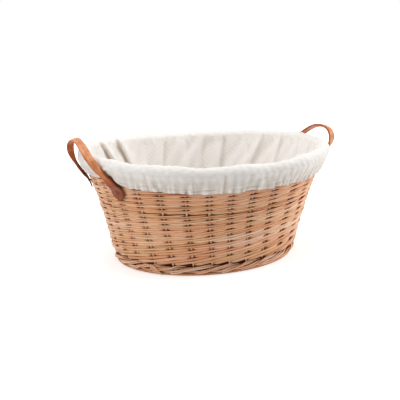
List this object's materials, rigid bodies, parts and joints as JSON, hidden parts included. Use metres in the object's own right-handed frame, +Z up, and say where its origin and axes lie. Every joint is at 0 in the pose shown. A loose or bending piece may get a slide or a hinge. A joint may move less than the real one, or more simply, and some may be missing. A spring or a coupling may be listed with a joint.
{
  "type": "laundry basket woven",
  "caption": "Oval woven willow laundry basket with a fitted cloth liner that folds over the rim and a leather strap handle at each end.",
  "frame": {"origin": "middle of the oval footprint, on the floor under the foot", "axes": "+Z up, +X along the basket's length towards the right handle, +Y towards the back long side"},
  "size_m": [0.6622, 0.4734, 0.3015],
  "materials": {
    "willow": "matte peeled willow",
    "dark_willow": "matte peeled willow, a little darker",
    "cotton": "plain woven cotton, undyed",
    "elastic": "knitted elastic tape",
    "leather": "smooth vegetable-tanned leather with cut edges",
    "rivet": "antique brown",
    "washer": "plain"
  },
  "bodies": {
    "basket": {"foot_hoop": "dark_willow", "foot_twist": "willow", "base_cross_sticks": "dark_willow", "base_long_sticks": "dark_willow", "base_weave": "willow", "side_stakes": "dark_willow", "bottom_wale": "dark_willow", "lower_weave": "willow", "upper_weave": "willow", "rim_border": "willow", "left_front_tab": "leather", "left_back_tab": "leather", "right_front_tab": "leather", "right_back_tab": "leather", "handle_rivets": "rivet", "rivet_washers": "washer"},
    "liner": {"liner_bag": "cotton", "liner_skirt": "cotton", "hem_elastic": "elastic"},
    "handle_left": {"left_handle_strap": "leather"},
    "handle_right": {"right_handle_strap": "leather"}
  },
  "joints": [
    {"name": "liner_lift", "type": "slide", "parent": "basket", "child": "liner", "axis": [0, 0, 1], "range_m": [0, 0.35], "deforming": ["liner_skirt", "hem_elastic"]},
    {"name": "left_handle_fold", "type": "hinge", "parent": "basket", "child": "handle_left", "pos_m": [-0.27089, -0.04972, 0.21426], "axis": [0.2903, -0.9568, -0.0129], "range_deg": [0, 60], "stiffness_Nm_per_rad": 0.12, "springref_deg": -5.73},
    {"name": "right_handle_fold", "type": "hinge", "parent": "basket", "child": "handle_right", "pos_m": [0.27089, 0.04972, 0.21426], "axis": [-0.2903, 0.9568, -0.0129], "range_deg": [0, 60], "stiffness_Nm_per_rad": 0.12, "springref_deg": -5.73}
  ]
}
